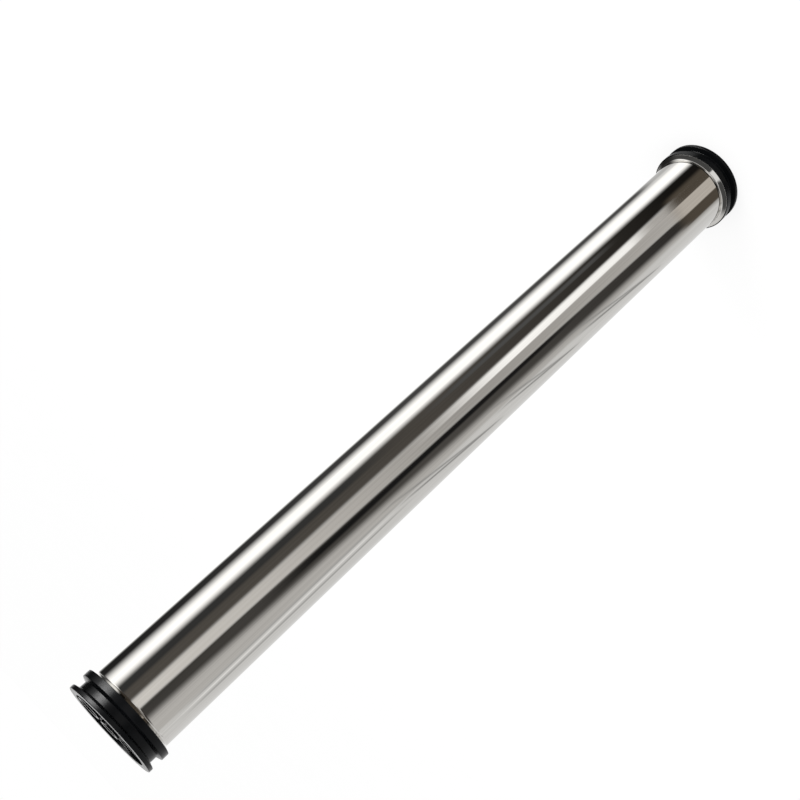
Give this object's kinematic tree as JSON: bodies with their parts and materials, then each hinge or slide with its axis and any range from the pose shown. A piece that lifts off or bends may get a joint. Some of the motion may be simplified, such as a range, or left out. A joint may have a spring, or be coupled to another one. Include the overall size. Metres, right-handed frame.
{
  "type": "membrane pressure vessel",
  "caption": "Slim polished steel tube with flared lips and black moulded end caps, holding a wound membrane element that filters water under pressure.",
  "frame": {"origin": "centre of the flat outer face of the feed end cap, on which the vessel stands", "axes": "+Z along the axis of the tube, from the feed end to the concentrate end; +X from the axis towards both side ports"},
  "size_m": [0.1206, 0.1206, 1.1],
  "materials": {
    "shell_steel": "polished stainless steel tube with fine lengthwise polishing lines",
    "cap_plastic": "black moulded glass-filled nylon, satin to glossy",
    "seal_rubber": "moulded black rubber with a faint grease sheen",
    "adapter_plastic": "off-white turned plastic",
    "tube_plastic": "white extruded plastic tube",
    "roll_membrane": "edges of wound membrane leaves and spacer net",
    "wrap_glass_fibre": "resin-wet glass-fibre wrap, wound in bands",
    "spider_plastic": "off-white moulded plastic"
  },
  "bodies": {
    "feed_head": {"feed_end_cap": "cap_plastic", "feed_first_head_seal": "seal_rubber", "feed_second_head_seal": "seal_rubber", "feed_permeate_adapter": "adapter_plastic", "feed_adapter_socket_seal": "seal_rubber", "feed_first_tube_seal": "seal_rubber", "feed_second_tube_seal": "seal_rubber"},
    "vessel": {"shell": "shell_steel", "permeate_tube": "tube_plastic", "membrane_roll": "roll_membrane", "element_wrap": "wrap_glass_fibre", "feed_end_spider": "spider_plastic", "concentrate_end_spider": "spider_plastic", "brine_seal": "seal_rubber"},
    "concentrate_head": {"concentrate_end_cap": "cap_plastic", "concentrate_first_head_seal": "seal_rubber", "concentrate_second_head_seal": "seal_rubber", "concentrate_permeate_adapter": "adapter_plastic", "concentrate_adapter_socket_seal": "seal_rubber", "concentrate_first_tube_seal": "seal_rubber", "concentrate_second_tube_seal": "seal_rubber"}
  },
  "joints": [
    {"name": "vessel_off_feed_head", "type": "slide", "parent": "feed_head", "child": "vessel", "axis": [0, 0, 1], "range_m": [0, 0.08]},
    {"name": "concentrate_head_off_vessel", "type": "slide", "parent": "vessel", "child": "concentrate_head", "axis": [0, 0, 1], "range_m": [0, 0.08]}
  ]
}
